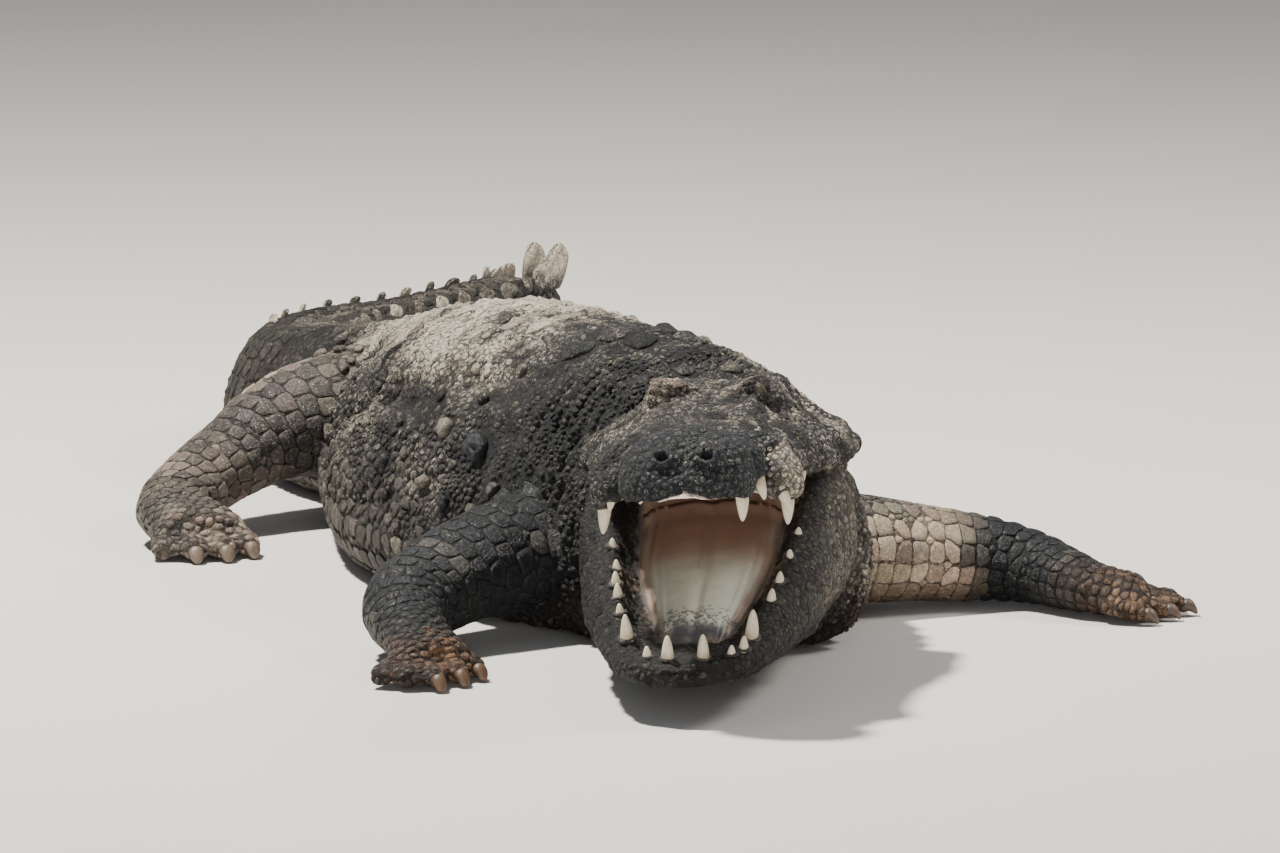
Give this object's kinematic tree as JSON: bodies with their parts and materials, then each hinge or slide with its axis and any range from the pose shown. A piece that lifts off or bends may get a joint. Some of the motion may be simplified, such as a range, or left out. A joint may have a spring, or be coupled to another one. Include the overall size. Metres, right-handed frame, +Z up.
{
  "type": "mugger crocodile",
  "caption": "Life-size still model of an old mugger crocodile lying on its belly with its mouth wide open.",
  "frame": {"origin": "on the floor, in the middle of the flat that the belly rests on", "axes": "+Z up, +Y from the shoulders to the hips along the trunk, so the head points towards -Y; +X is the animal's left"},
  "size_m": [1.2109, 3.3411, 0.3661],
  "materials": {
    "hide": "dry, scaly, charcoal with beige streaks",
    "snout_hide": "dry, pitted, blue-grey with pale specks",
    "mouth": "moist, cream with dark specks",
    "eye": "wet, amber-brown with a slit pupil",
    "claw": "worn, dusty horn"
  },
  "bodies": {
    "root": {"eye_left": "eye", "eye_right": "eye", "fore_left_claw_1": "claw", "fore_left_claw_2": "claw", "fore_left_claw_3": "claw", "fore_left_foot": "hide", "fore_left_lower": "hide", "fore_left_upper": "hide", "fore_right_claw_1": "claw", "fore_right_claw_2": "claw", "fore_right_claw_3": "claw", "fore_right_foot": "hide", "fore_right_lower": "hide", "fore_right_upper": "hide", "head": "snout_hide", "hind_left_claw_1": "claw", "hind_left_claw_2": "claw", "hind_left_claw_3": "claw", "hind_left_foot": "hide", "hind_left_lower": "hide", "hind_left_upper": "hide", "hind_right_claw_1": "claw", "hind_right_claw_2": "claw", "hind_right_claw_3": "claw", "hind_right_foot": "hide", "hind_right_lower": "hide", "hind_right_upper": "hide", "lower_jaw": "snout_hide", "neck": "hide", "tail_1": "hide", "tail_2": "hide", "tail_3": "hide", "tail_4": "hide", "tongue": "mouth", "trunk": "hide"}
  },
  "joints": []
}
